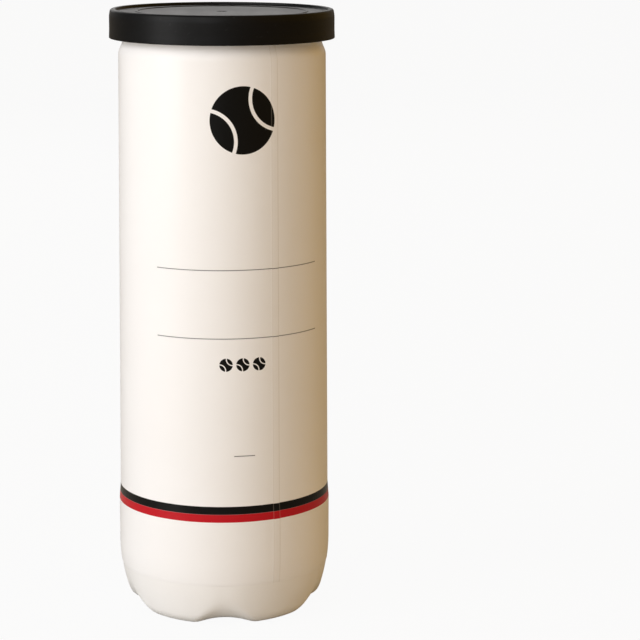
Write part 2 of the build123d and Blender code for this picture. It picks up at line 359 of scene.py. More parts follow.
def roundCorners(points, step=12.0):
    # (radius, height, rounding) corners of an open outline, with an arc at each rounded one
    done = []
    for i, (r, z, size) in enumerate(points):
        here = Vector((r, z))
        if size == 0 or i in (0, len(points) - 1):
            done.append((r, z))
            continue
        back = Vector(points[i - 1][:2]) - here
        ahead = Vector(points[i + 1][:2]) - here
        bend = math.pi - back.angle(ahead)
        reach = min(size * math.tan(bend / 2), 0.49 * back.length, 0.49 * ahead.length)
        pieces = max(2, round(math.degrees(bend) / step))
        start = here + back.normalized() * reach
        end = here + ahead.normalized() * reach
        for k in range(pieces + 1):
            t = k / pieces
            spot = start * (1 - t) ** 2 + here * 2 * t * (1 - t) + end * t**2
            done.append((spot.x, spot.y))
    return done


def arcPoints(centre, radius, start, end, pieces):
    turns = [start + (end - start) * k / pieces for k in range(pieces + 1)]
    return [(centre[0] + radius * math.cos(a), centre[1] + radius * math.sin(a)) for a in turns]


def finishPiece(piece, body, slot, *nodes):
    global pieceCount
    pieceCount += 1
    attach(piece, body)
    if nodes:
        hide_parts(*nodes)


bodyShape = {
    "around": 240,
    "wall": 0.6,
    "padInner": 23.5,
    "padOuter": 27.5,
    "domeRise": 5.0,
    "toeRadius": 7.0,
    "hipRadius": 37.6,
    "hipStart": 24.7,
    "stepStart": 39.5,
    "stepEnd": 45.0,
    "waistRadius": 37.15,
    "wallTopRadius": 36.0,
    "shoulderStart": 198.5,
    "grooveRadius": 34.45,
    "grooveHeight": 204.3,
    "neckRadius": 37.2,
    "neckStart": 206.9,
    "flange": 0.4,
    "hookInner": 37.45,
    "hookOuter": 37.85,
    "hookLow": 209.9,
    "valleys": 5,
    "valleyFloor": 15.2,
    "valleyRound": 28.0,
    "valleyCentre": (22.0, 16.2),
    "valleyInnerAngle": 30.0,
    "softEdge": 0.8,         # how widely a valley's edge is rounded
    "rayHeight": 34.0,       # inside point from which the base is seen whole
    "rayNearest": 0.3,       # how far along its ray a base point may be drawn in
    "raySlant": 0.8,         # depth under the outside for each length of ray
    "halvings": 36,
    "farAway": 99.0,
    "baseTop": 34.0,
    "poleShare": 26,         # the base's first ring is this part of the dome
    "domeSteps": 24,
    "toeSteps": 14,
    "heelSteps": 26,
    "wallSteps": 14,
    "grooveSteps": 16,
    "stepRound": 14.0,
    "grooveLead": 0.35,
    "grooveRound": 0.7,
    "neckRound": 0.9,
    "neckLength": 2.0,
}


def bodyOutline(grow):
    # the outside from the base's middle up to the neck, moved outwards by grow
    s = bodyShape
    domeRadius = (s["padInner"] ** 2 + s["domeRise"] ** 2) / (2 * s["domeRise"])
    reach = math.asin(s["padInner"] / domeRadius)
    centre = (0.0, s["domeRise"] - domeRadius)
    upright = math.pi / 2
    points = arcPoints(centre, domeRadius - grow, upright - reach / s["poleShare"], upright - reach * 0.93,
                       s["domeSteps"])
    run = s["hipRadius"] - s["padOuter"]
    climb = s["hipStart"] - s["toeRadius"]
    heelRadius = (run**2 + climb**2 - s["toeRadius"] ** 2) / (2 * (run - s["toeRadius"]))
    toe = (s["padOuter"], s["toeRadius"])
    heel = (s["hipRadius"] - heelRadius, s["hipStart"])
    meet = math.atan2(toe[1] - heel[1], toe[0] - heel[0])
    points += [(s["padInner"] + 0.2, -grow), ((s["padInner"] + s["padOuter"]) / 2, -grow)]
    points += arcPoints(toe, s["toeRadius"] + grow, -upright, meet, s["toeSteps"])
    points += arcPoints(heel, heelRadius + grow, meet, 0.0, s["heelSteps"])[1:]
    side = [
        (s["hipRadius"] + grow, s["hipStart"] + 1.0, 0),
        (s["hipRadius"] + grow, s["stepStart"], s["stepRound"]),
        (s["waistRadius"] + grow, s["stepEnd"], s["stepRound"]),
        (s["wallTopRadius"] + grow, s["shoulderStart"], 0),
    ]
    side = roundCorners(side, step=1.2)
    wall = side.pop()
    low = side[-1]
    wallSteps, grooveSteps = s["wallSteps"], s["grooveSteps"]
    for k in range(1, wallSteps + 1):
        side.append(tuple(a + (b - a) * k / wallSteps for a, b in zip(low, wall)))
    points += side
    for k in range(1, grooveSteps + 1):
        t = k / grooveSteps
        r = wall[0] + (s["grooveRadius"] + grow - wall[0]) * (1 - math.cos(math.pi * t)) / 2
        points.append((r, wall[1] + (s["grooveHeight"] - s["grooveLead"] - wall[1]) * t))
    points += roundCorners([
        (s["grooveRadius"] + grow, s["grooveHeight"] - 0.3, 0),
        (s["grooveRadius"] + grow, s["grooveHeight"], s["grooveRound"]),
        (s["neckRadius"] + grow, s["neckStart"], s["neckRound"]),
        (s["neckRadius"] + grow, s["neckStart"] + s["neckLength"], 0),
    ])
    return points


def valleyDistance(x, y, z, grow):
    # how far a point lies outside the round channel that faces +X, in millimetres
    s = bodyShape
    cx, cz = s["valleyCentre"]
    spine = s["valleyFloor"] + s["valleyRound"]
    inner = math.radians(s["valleyInnerAngle"])
    across = x - cx
    down = cz - z
    below = np.hypot(across, down) - spine
    rising = np.clip(z - cz, 0, spine * 0.9)
    above = across - 2 * spine + np.sqrt(spine**2 - rising**2)
    inPlane = np.where(down >= 0, below, above)
    tube = np.hypot(inPlane, y) - s["valleyRound"]
    endX, endZ = -spine * math.sin(inner), -spine * math.cos(inner)
    past = -((across - endX) * math.cos(inner) - (-down - endZ) * math.sin(inner))
    perp = (across - endX) * math.sin(inner) + (-down - endZ) * math.cos(inner)
    lateral = np.hypot(perp, y) - s["valleyRound"]
    capped = np.where(lateral > 0, np.hypot(lateral, past), past)
    return np.where((past > 0) & (down > 0), capped, tube) + grow


def pressValleys(rings, grow):
    # draws the base's rings in towards an inside point until they clear the valleys
    s = bodyShape
    work = rings / mm
    core = np.array([0.0, 0.0, s["rayHeight"]])
    ray = work - core
    length = np.linalg.norm(ray, axis=2)
    low = np.full(length.shape, s["rayNearest"])
    high = np.ones(length.shape)
    for _ in range(s["halvings"]):
        middle = (low + high) / 2
        spot = core + ray * middle[..., None]
        gap = (1 - middle) * length * s["raySlant"]
        for k in range(s["valleys"]):
            turn = math.radians(-90 + k * 360 / s["valleys"])
            x = spot[..., 0] * math.cos(turn) + spot[..., 1] * math.sin(turn)
            y = spot[..., 1] * math.cos(turn) - spot[..., 0] * math.sin(turn)
            facing = valleyDistance(x, y, spot[..., 2], grow)
            facing = np.where(x > 0, facing, s["farAway"])
            near = np.clip(s["softEdge"] - np.abs(gap - facing), 0, None) / s["softEdge"]
            gap = np.minimum(gap, facing) - near**2 * s["softEdge"] / 4
        inside = gap > 0
        low = np.where(inside, middle, low)
        high = np.where(inside, high, middle)
    pressed = (core + ray * low[..., None]) * mm
    base = work[..., 2:3] < s["baseTop"]
    return np.where(base & (low[..., None] < 0.9999), pressed, rings)


def makeBody():
    s = bodyShape
    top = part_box("can_body")[1].z / mm
    outer = bodyOutline(0.0)
    flange = roundCorners([
        (s["neckRadius"], top - s["flange"] - 0.6, 0),
        (s["neckRadius"], top - s["flange"], 0.1),
        (s["hookInner"], top - s["flange"], 0.1),
        (s["hookInner"], s["hookLow"], 0.12),
        (s["hookOuter"], s["hookLow"], 0.12),
        (s["hookOuter"], top, 0.3),
        (s["neckRadius"] - s["wall"], top, 0.3),
        (s["neckRadius"] - s["wall"], top - 1.5, 0),
    ], step=30.0)
    inner = bodyOutline(-s["wall"])[::-1]
    outerRings = pressValleys(turnOutline(outer, s["around"]), 0.0)
    innerRings = pressValleys(turnOutline(inner, s["around"]), -s["wall"])
    rings = np.concatenate([outerRings, turnOutline(flange, s["around"]), innerRings])
    poles = (0, 0, s["domeRise"] * mm), (0, 0, (s["domeRise"] + s["wall"]) * mm)
    corners, faces = skinRings(rings, *poles)
    body = meshObject("bodyShell", corners, faces, finishes["body_plastic"], sharp=38.0)
    finishPiece(body, "can", "body_plastic", "can_body")


makeBody()
print("can body made")


sleeveShape = {
    "around": 264,
    "thickness": 0.15,
    "clear": 0.012,
    "lapHeight": 0.02,       # the film's second layer where it is joined to itself
    "lapSoft": 0.25,         # degrees over which the lap's edge rises
    "edgeThin": 0.25,        # part of the thickness that is left at an edge
    "lowFade": 0.8,
    "highFade": 0.5,
    "topSlope": 1.05,        # how fast the top edge follows the shoulder, sideways for each height
    "insideOf": 30.0,        # the outline's points nearer the axis than this are the base's
}


def makeSleeve():
    s = sleeveShape
    low, high = (corner.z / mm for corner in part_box("sleeve_label"))
    path = [point for point in bodyOutline(0.0) if low < point[1] < high and point[0] > s["insideOf"]]
    heelLow = np.interp(low, [p[1] for p in path], [p[0] for p in path])
    slope = (path[1][0] - path[0][0]) / (path[1][1] - path[0][1])
    path.insert(0, (heelLow + slope * (low - path[0][1]), low))
    last = path[-1]
    path.append((last[0] + (high - last[1]) * s["topSlope"], high))
    outside = []
    for r, z in path:
        thin = min(1.0, s["edgeThin"] + min((z - low) / s["lowFade"], (high - z) / s["highFade"]))
        outside.append((r + s["clear"] + s["thickness"] * thin, z))
    inside = [(r + s["clear"], z) for r, z in path[::-1]]
    even = list(np.linspace(-math.pi, math.pi, s["around"], endpoint=False))
    lapEdges = [sleevePrint["lapStart"], sleevePrint["lapEnd"]]
    extra = [math.radians(edge + k * s["lapSoft"] / 2) for edge in lapEdges for k in (-1, 0, 1)]
    angles = np.array(sorted(even + extra))
    rings = turnOutline(outside, angles)
    degrees = np.degrees(angles)
    rise = np.clip((degrees - lapEdges[0]) / s["lapSoft"] + 0.5, 0, 1)
    rise = rise * np.clip((lapEdges[1] - degrees) / s["lapSoft"] + 0.5, 0, 1)
    rings[..., 0] += s["lapHeight"] * mm * rise * np.sin(angles)
    rings[..., 1] -= s["lapHeight"] * mm * rise * np.cos(angles)
    corners, faces = skinRings(np.concatenate([rings, turnOutline(inside, angles)]), loop=True)
    sleeve = meshObject("sleeveSkin", corners, faces, finishes["sleeve_film"], sharp=38.0)
    finishPiece(sleeve, "can", "sleeve_film", "sleeve_label")


makeSleeve()
print("sleeve made")


capShape = {
    "around": 288,
    "skirtWall": 0.75,
    "flare": 0.12,
    "topWall": 0.9,
    "rimHeight": 1.0,
    "rimWidth": 2.4,
    "shoulder": 2.6,
    "beadReach": 0.3,
    "beadDrop": 5.55,        # from the rim's top down to the inner bead
    "beadHalf": 0.45,
    "ringRadius": 30.0,
    "ringWidth": 0.9,
    "ringHeight": 0.25,
    "gateRadius": 1.7,
    "gateDip": 0.3,
}


def makeCap():
    s = capShape
    low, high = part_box("overcap")
    bottom, top = low.z / mm, high.z / mm
    outer = high.x / mm - s["flare"]
    inner = outer - s["skirtWall"]
    face = top - s["rimHeight"]
    ceiling = face - s["topWall"]
    bead = top - s["beadDrop"]
    ring = s["ringRadius"]
    outline = roundCorners([
        (0.35, ceiling, 0),
        (inner, ceiling, 0.35),
        (inner, bead + s["beadHalf"], 0.2),
        (inner - s["beadReach"], bead, 0.3),
        (inner, bead - s["beadHalf"], 0.2),
        (inner, bottom, 0.22),
        (outer + s["flare"], bottom, 0.25),
        (outer, bottom + 3.0, 6.0),
        (outer, top - 2.4, 5.0),
        (outer - 0.35, top, s["shoulder"]),
        (outer - s["rimWidth"] + 0.25, top, 0.35),
        (outer - s["rimWidth"], face, 0.5),
        (ring, face, 0.15),
        (ring - 0.08, face + s["ringHeight"], 0.12),
        (ring - s["ringWidth"] + 0.08, face + s["ringHeight"], 0.12),
        (ring - s["ringWidth"], face, 0.15),
        (s["gateRadius"] + 0.3, face, 0.2),
        (s["gateRadius"], face - s["gateDip"], 0.2),
        (0.55, face - s["gateDip"], 0.1),
        (0.45, face - s["gateDip"] + 0.18, 0.1),
        (0.1, face - s["gateDip"] + 0.2, 0),
    ])
    rings = turnOutline(outline, s["around"])
    poles = (0, 0, ceiling * mm), (0, 0, outline[-1][1] * mm)
    corners, faces = skinRings(rings, *poles)
    cap = meshObject("capShell", corners, faces, finishes["cap_plastic"], sharp=40.0)
    finishPiece(cap, "cap", "cap_plastic", "overcap")


makeCap()
print("overcap made")


endShape = {
    "around": 240,
    "sheet": 0.25,
    "seamBottom": 209.2,
    "seamRound": 0.55,
    "chuckInner": 36.35,
    "countersinkFloor": 206.9,
    "stepRadius": 34.6,
    "lipTop": 208.0,
    "lipThickness": 0.3,
    "openingRadius": 33.8,
    "coverHook": (37.2, 37.35),
}


def makeEndRing():
    s = endShape
    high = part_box("end_ring")[1]
    outer, top = high.x / mm, high.z / mm
    sheet = s["sheet"]
    floor = s["countersinkFloor"]
    outline = roundCorners([
        (s["openingRadius"], s["lipTop"] - s["lipThickness"] / 2, 0),
        (s["openingRadius"], s["lipTop"], 0.1),
        (s["stepRadius"] + sheet, s["lipTop"], 0.25),
        (s["stepRadius"] + sheet, floor + sheet, 0.3),
        (s["chuckInner"], floor + sheet, 0.5),
        (s["chuckInner"], top, 0.6),
        (outer, top, s["seamRound"]),
        (outer, s["seamBottom"], s["seamRound"]),
        (outer - sheet, s["seamBottom"], 0.08),
        (outer - sheet, top - sheet, 0.3),
        (s["chuckInner"] + sheet, top - sheet, 0.3),
        (s["chuckInner"] + sheet, floor, 0.3),
        (s["stepRadius"], floor, 0.25),
        (s["stepRadius"], s["lipTop"] - s["lipThickness"], 0.1),
        (s["openingRadius"], s["lipTop"] - s["lipThickness"], 0.1),
        (s["openingRadius"], s["lipTop"] - s["lipThickness"] / 2, 0),
    ])[:-1]
    corners, faces = skinRings(turnOutline(outline, s["around"]), loop=True)
    hook = [(s["coverHook"][0], s["seamBottom"]), (s["coverHook"][1], s["seamBottom"]),
            (s["coverHook"][1], top - 1.2), (s["coverHook"][0], top - 1.2)]
    moreCorners, moreFaces = skinRings(turnOutline(hook, s["around"]), loop=True)
    faces += [tuple(len(corners) + index for index in one) for one in moreFaces]
    end = meshObject("endRing", corners + moreCorners, faces, finishes["end_metal"], sharp=50.0)
    finishPiece(end, "can", "end_metal", "end_ring")


makeEndRing()
print("end ring made")


panelShape = {
    "around": 180,
    "sheet": 0.3,
    "spans": ((0.5, 19.0, 34), (19.3, 22.4, 18), (23.0, 31.8, 14)),    # (from, to, rings) of the sheet
    "edgeRings": (32.0, 14),
    "edgeBreak": 0.06,
    "beadRadius": 20.8,
    "beadWidth": 1.7,
    "beadDip": 0.22,
    "beadGapAngle": 24.0,    # half the stretch beside the rivet that the bead leaves flat
    "edgeGroove": 32.7,
    "edgeDip": 0.10,
    "wellCentre": (9.5, 0.0),
    "wellRadius": 7.0,
    "wellDip": 0.75,
    "rivetRadius": 2.7,
    "rivetStem": 1.6,
    "rivetHeight": 0.5,
    "rivetDimple": 0.28,
    "rivetAround": 64,
}


def panelHeight(x, y):
    # how far the pressed sheet dips below its flat face, in millimetres
    s = panelShape
    radius = np.hypot(x, y)
    turn = np.degrees(np.arctan2(y, x))
    stop = 1 / (1 + np.exp(-(np.abs(turn) - s["beadGapAngle"]) / 1.5))
    bead = s["beadDip"] * np.exp(-(((radius - s["beadRadius"]) / (s["beadWidth"] / 2)) ** 4)) * stop
    edge = s["edgeDip"] * np.exp(-(((radius - s["edgeGroove"]) / 0.35) ** 2))
    far = np.hypot(x - s["wellCentre"][0], y - s["wellCentre"][1]) / s["wellRadius"]
    well = s["wellDip"] * np.clip(1 - far**2, 0, None) ** 1.5
    return -(bead + edge + well)


def makePanel():
    s = panelShape
    low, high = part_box("tear_panel")
    under = low.z / mm
    face = under + s["sheet"]
    edge = high.x / mm
    edgeStart, edgeRings = s["edgeRings"]
    spans = [np.linspace(*span) for span in s["spans"]]
    radii = np.concatenate([*spans, np.linspace(edgeStart, edge - 0.1, edgeRings), [edge]])
    flat = turnOutline([(r, 0.0) for r in radii], s["around"])
    dip = panelHeight(flat[..., 0] / mm, flat[..., 1] / mm)
    upper = flat.copy()
    upper[..., 2] = (face + dip) * mm
    upper[-1, :, 2] -= s["edgeBreak"] * mm
    lower = flat.copy()
    lower[..., 2] = (under + dip) * mm
    lower[-1, :, 2] += s["edgeBreak"] * mm
    middle = float(panelHeight(np.array(0.0), np.array(0.0)))
    poles = (0, 0, (face + middle) * mm), (0, 0, (under + middle) * mm)
    corners, faces = skinRings(np.concatenate([upper, lower[::-1]]), *poles)
    islandLow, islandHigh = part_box("tab_island")
    rivet = (islandLow + islandHigh) / 2
    headLow = islandHigh.z / mm
    outline = roundCorners([
        (0.2, under - 0.25, 0),
        (s["rivetRadius"] * 0.9, under - 0.25, 0.3),
        (s["rivetRadius"] * 0.9, under + 0.05, 0.1),
        (s["rivetStem"], under + 0.1, 0),
        (s["rivetStem"], headLow, 0),
        (s["rivetRadius"], headLow, 0.12),
        (s["rivetRadius"], headLow + s["rivetHeight"], 0.45),
        (1.35, headLow + s["rivetHeight"], 0.3),
        (1.1, headLow + s["rivetHeight"] - s["rivetDimple"], 0.3),
        (0.2, headLow + s["rivetHeight"] - 0.3, 0),
    ])
    rings = turnOutline(outline, s["rivetAround"])
    stem = (0, 0, outline[0][1] * mm), (0, 0, outline[-1][1] * mm)
    moreCorners, moreFaces = skinRings(rings, *stem)
    start = len(corners)
    corners += [corner + np.array([rivet.x, 0, 0]) for corner in moreCorners]
    faces += [tuple(start + index for index in one) for one in moreFaces]
    panel = meshObject("panelSheet", corners, faces, finishes["panel_metal"], sharp=40.0)
    finishPiece(panel, "end_panel", "panel_metal", "tear_panel")


makePanel()
print("tear panel made")


def newTree(name, sizes):
    # a geometry tree with one named input for each size
    group = bpy.data.node_groups.new(name, "GeometryNodeTree")
    group.interface.new_socket("Geometry", in_out="INPUT", socket_type="NodeSocketGeometry")
    for label, value in sizes.items():
        kind = "NodeSocketInt" if isinstance(value, int) else "NodeSocketFloat"
        socket = group.interface.new_socket(label, in_out="INPUT", socket_type=kind)
        socket.default_value = value
    group.interface.new_socket("Geometry", in_out="OUTPUT", socket_type="NodeSocketGeometry")
    return Nodes(group)


def closeTree(tree, shape, finish):
    shape = tree.node("GeometryNodeRealizeInstances", None, {0: shape})
    shape = tree.node("GeometryNodeSetMaterial", None, {"Geometry": shape, "Material": finish})
    out = tree.tree.nodes.new("NodeGroupOutput")
    tree.tree.links.new(shape.socket, out.inputs[0])


def bake(source, tree, sizes, name):
    # runs the tree on the source with these sizes and keeps the result as a plain mesh
    modifier = source.modifiers.new("shape", "NODES")
    modifier.node_group = tree.tree
    for item in tree.tree.interface.items_tree:
        if item.item_type == "SOCKET" and item.in_out == "INPUT" and item.name in sizes:
            modifier[item.identifier] = sizes[item.name]
    evaluated = source.evaluated_get(bpy.context.evaluated_depsgraph_get())
    mesh = bpy.data.meshes.new_from_object(evaluated)
    source.modifiers.remove(modifier)
    mesh.name = name
    return mesh


tabShape = {
    "length": 32.0,
    "ringRadius": 11.0,
    "holeRadius": 7.6,
    "noseWidth": 15.0,
    "noseRadius": 3.0,
    "curl": 0.75,            # radius of the rolled outer edge
    "holeCurl": 0.62,
    "web": 0.5,
    "webHeight": 0.55,       # from the tab's underside to the web's underside
    "windowGap": 0.35,
    "windowCorner": 2.75,
    "ribs": 5.9,             # from the middle line to each stiffening rib
    "ribRadius": 0.42,
    "ribSink": 0.12,
    "ribStart": 7.4,         # from the ring's middle
    "ribSteps": 12,
    "windowCurl": 0.3,
    "curlSides": 14,
    "around": 72,            # points round each circle of the outline
}


def hullOutline(circles, pieces):
    # the taut outline round some (x, y, radius) circles
    cloud = []
    for x, y, radius in circles:
        for k in range(pieces):
            turn = 2 * math.pi * k / pieces
            cloud.append(Vector((x + radius * math.cos(turn), y + radius * math.sin(turn))))
    return [cloud[i] for i in geometry.convex_hull_2d(cloud)]


def tubeTree():
    tree = newTree("curledEdge", {"Radius": tabShape["curl"] * mm, "Sides": tabShape["curlSides"]})
    source = tree.tree.nodes.new("NodeGroupInput")
    line = Val(tree, source.outputs["Geometry"])
    radius = Val(tree, source.outputs["Radius"])
    sides = Val(tree, source.outputs["Sides"])
    profile = tree.node("GeometryNodeCurvePrimitiveCircle", None, {"Resolution": sides, "Radius": radius})
    shape = tree.node("GeometryNodeCurveToMesh", None, {"Curve": line, "Profile Curve": profile})
    closeTree(tree, shape, finishes["tab_metal"])
    return tree


def pathCurve(name, points, closed):
    curve = bpy.data.curves.new(name, "CURVE")
    curve.dimensions = "3D"
    spline = curve.splines.new("POLY")
    spline.points.add(len(points) - 1)
    for point, (x, y, z) in zip(spline.points, points):
        point.co = (x, y, z, 1.0)
    spline.use_cyclic_u = closed
    return addObject(name, curve)


def roundedBox(centre, half, corner, pieces=8):
    points = []
    for k, (sx, sy) in enumerate(((1, 1), (-1, 1), (-1, -1), (1, -1))):
        cx = centre[0] + sx * (half[0] - corner)
        cy = centre[1] + sy * (half[1] - corner)
        for i in range(pieces + 1):
            turn = math.pi / 2 * (k + i / pieces)
            points.append(Vector((cx + corner * math.cos(turn), cy + corner * math.sin(turn))))
    return points


def makeTab():
    s = tabShape
    low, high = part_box("pull_tab")
    islandLow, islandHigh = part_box("tab_island")
    nose = high.x / mm
    ringX = nose - s["length"] + s["ringRadius"]
    noseX = nose - s["noseRadius"]
    noseY = s["noseWidth"] / 2 - s["noseRadius"]
    base = low.z / mm

    def taut(inset):
        return hullOutline([
            (ringX, 0, s["ringRadius"] - inset),
            (noseX, -noseY, s["noseRadius"] - inset),
            (noseX, noseY, s["noseRadius"] - inset),
        ], s["around"])

    tree = tubeTree()
    work = bmesh.new()
    holeRadius = s["holeRadius"] + s["holeCurl"]
    hole = [Vector((ringX + holeRadius * math.cos(a), holeRadius * math.sin(a)))
            for a in np.linspace(0, 2 * math.pi, s["around"], endpoint=False)]
    centre = ((islandLow.x + islandHigh.x) / 2 / mm, 0.0)
    half = ((islandHigh.x - islandLow.x) / 2 / mm + s["windowGap"], islandHigh.y / mm + s["windowGap"])
    curl = s["windowCurl"]
    window = roundedBox(centre, (half[0] + curl, half[1] + curl), s["windowCorner"])
    webTop = base + s["webHeight"] + s["web"]
    tubes = [
        (taut(s["curl"]), s["curl"], base + s["curl"], True),
        (hole, s["holeCurl"], base + s["curl"], True),
        (window, curl, base + s["webHeight"] + curl, True),
    ]
    for side in (-1, 1):
        along = np.linspace(ringX + s["ribStart"], noseX - 0.2, s["ribSteps"])
        rib = [Vector((x, side * s["ribs"])) for x in along]
        tubes.append((rib, s["ribRadius"], webTop - s["ribSink"], False))
    for index, (line, radius, height, closed) in enumerate(tubes):
        points = [(p.x * mm, p.y * mm, height * mm) for p in line]
        source = pathCurve(f"tabPath{index}", points, closed)
        work.from_mesh(bake(source, tree, {"Radius": radius * mm, "Sides": s["curlSides"]}, "tabCurl"))
        bpy.data.objects.remove(source)
    bmesh.ops.holes_fill(work, edges=[edge for edge in work.edges if edge.is_boundary])
    plate = bmesh.new()
    for line in (taut(0.5), hole, window):
        ring = [plate.verts.new((p.x * mm, p.y * mm, (webTop - s["web"]) * mm)) for p in line]
        for i, corner in enumerate(ring):
            plate.edges.new((corner, ring[(i + 1) % len(ring)]))
    plate.verts.index_update()
    outline = [tuple(corner.index for corner in edge.verts) for edge in plate.edges]
    bmesh.ops.triangle_fill(plate, edges=plate.edges, use_beauty=True)
    count = len(plate.verts)
    under = sorted(tuple(sorted(corner.index for corner in face.verts)) for face in plate.faces)
    corners = [tuple(corner.co) for corner in plate.verts]
    plate.free()
    # the web's underside, the same face lifted by its thickness, and walls between them
    corners += [(x, y, z + s["web"] * mm) for x, y, z in corners]
    faces = under + [tuple(index + count for index in face) for face in under]
    faces += [(a, b, b + count, a + count) for a, b in outline]
    sheet = bpy.data.meshes.new("tabWeb")
    sheet.from_pydata(corners, [], faces)
    work.from_mesh(sheet)
    bmesh.ops.recalc_face_normals(work, faces=work.faces)
    mesh = bpy.data.meshes.new("tabSheet")
    work.to_mesh(mesh)
    work.free()
    mesh.materials.clear()
    mesh.materials.append(finishes["tab_metal"])
    for face in mesh.polygons:
        face.material_index = 0
    mesh.shade_smooth()
    mesh.set_sharp_from_angle(angle=math.radians(40))
    finishPiece(addObject("tabSheet", mesh), "tab", "tab_metal", "pull_tab")


makeTab()
print("pull tab made")


ballShape = {
    "turns": (20.0, 75.0, -35.0),
    "felt": 3.2,
    "waist": 28.0,           # half a felt panel's waist, in degrees
    "grid": 60,
    "edgeRound": 2.1,        # width over which a panel's edge rolls down to the seam
    "edgeDrop": 2.2,
    "seamHalf": 1.35,
    "seamRecess": 0.5,
    "lump": 0.10,
    "lumpTurns": (19, 7, 23, 11),
    "fuzzCount": 15000,
    "fuzzLength": 1.25,
    "fuzzSeed": 7,
    "fuzzLean": (1.0, 1.0, 3.1),    # how far a fibre may lean each way, and turn, in radians
    "fuzzScale": (0.55, 1.25),
    "fuzzTip": 0.004,
    "fuzzRoot": 0.045,
}
diagonal = math.sqrt(0.5)
waist = math.radians(ballShape["waist"])
lobeTilt = math.atan((diagonal - math.sin(waist)) / math.cos(waist))
lobeAngle = math.acos(math.cos(lobeTilt) * diagonal)
lobes = {
    "a": [(math.sin(lobeTilt), 0, math.cos(lobeTilt)), (math.sin(lobeTilt), 0, -math.cos(lobeTilt))],
    "b": [(-math.sin(lobeTilt), math.cos(lobeTilt), 0), (-math.sin(lobeTilt), -math.cos(lobeTilt), 0)],
}


def seamSide(directions):
    # the angle from the seam, positive on the panel whose waist faces -X
    def nearest(axes):
        return np.min([np.arccos(np.clip(directions @ np.array(axis), -1, 1)) for axis in axes], axis=0)
    ahead = lobeAngle - nearest(lobes["a"])
    behind = nearest(lobes["b"]) - lobeAngle
    return np.where(directions[:, 0] > 0, ahead, behind)


def sphereGrid(count):
    # directions and quads of a cube blown up to a ball
    work = bmesh.new()
    bmesh.ops.create_cube(work, size=2.0)
    bmesh.ops.subdivide_edges(work, edges=work.edges, cuts=count - 1, use_grid_fill=True)
    spots = np.array([tuple(corner.co) for corner in work.verts])
    spots = np.tan(spots * math.pi / 4)
    quads = [tuple(corner.index for corner in face.verts) for face in work.faces]
    work.free()
    return spots / np.linalg.norm(spots, axis=1)[:, None], quads


def feltPanel(sign, radius, directions, quads, side):
    # one dog-bone of felt as a closed shell: rolled edge outside, flat on the rubber inside
    s = ballShape
    reach = sign * side
    kept = [quad for quad in quads if np.mean(reach[list(quad)]) > 0]
    used = sorted({index for quad in kept for index in quad})
    place = {index: i for i, index in enumerate(used)}
    here = directions[used]
    away = np.clip(reach[used] * radius - 0.35, 0, None)
    roll = np.clip(1 - away / s["edgeRound"], 0, 1)
    drop = s["edgeDrop"] * (1 - np.sqrt(np.clip(1 - roll**2, 0, 1)))
    x, y, z = here.T
    p, q, t, u = s["lumpTurns"]
    lump = s["lump"] * (np.sin(x * p + y * q) + np.sin(z * t - x * u)) / 2
    outer = here * (radius - drop - s["lump"] + lump * (1 - roll))[:, None]
    inner = here * (radius - s["felt"] + 0.02)
    count = len(used)
    corners = np.concatenate([outer, inner]) * mm
    faces = [tuple(place[index] for index in quad) for quad in kept]
    edges = {}
    for quad in faces:
        for i in range(4):
            pair = (quad[i], quad[(i + 1) % 4])
            if pair[::-1] in edges:
                del edges[pair[::-1]]
            else:
                edges[pair] = True
    walls = [(b, a, a + count, b + count) for a, b in edges]
    faces += [tuple(index + count for index in quad[::-1]) for quad in faces] + walls
    return corners, faces


def seamPath(pieces=90):
    # directions along the whole seam: four arcs that run on into one another
    axis = Vector(lobes["a"][0])
    start = Vector((0, diagonal, diagonal))
    crest = Vector((math.cos(waist), 0, math.sin(waist)))
    centre = axis * math.cos(lobeAngle)
    sweep = 2 * (start - centre).angle(crest - centre)
    arc = [Matrix.Rotation(sweep * k / pieces, 3, -axis) @ start for k in range(pieces)]
    arc.append(Matrix.Rotation(sweep, 3, -axis) @ start)
    under = [Vector((p.x, -p.y, -p.z)) for p in arc]
    flip = [Vector((-p.x, p.z, p.y)) for p in arc]
    flipUnder = [Vector((-p.x, p.z, p.y)) for p in under]
    return arc[:-1] + flipUnder[::-1][:-1] + under[:-1] + flip[::-1][:-1]


def seamRibbon(radius):
    # the cement as a closed band along the seam, a little hollow along its middle
    s = ballShape
    path = seamPath()
    half = s["seamHalf"]
    top = radius - s["seamRecess"]
    foot = radius - s["felt"] + 0.05
    section = [(-half, top - 0.25), (-half * 0.6, top - 0.08), (0.0, top - 0.14), (half * 0.6, top - 0.08),
               (half, top - 0.25), (half * 0.85, top - 1.3), (0.35, foot), (-0.35, foot),
               (-half * 0.85, top - 1.3)]
    rings = []
    for i, point in enumerate(path):
        onwards = (path[(i + 1) % len(path)] - path[i - 1]).normalized()
        across = point.cross(onwards).normalized()
        rings.append([tuple((across * a + point * h) * mm) for a, h in section])
    return skinRings(np.array(rings), loop=True)


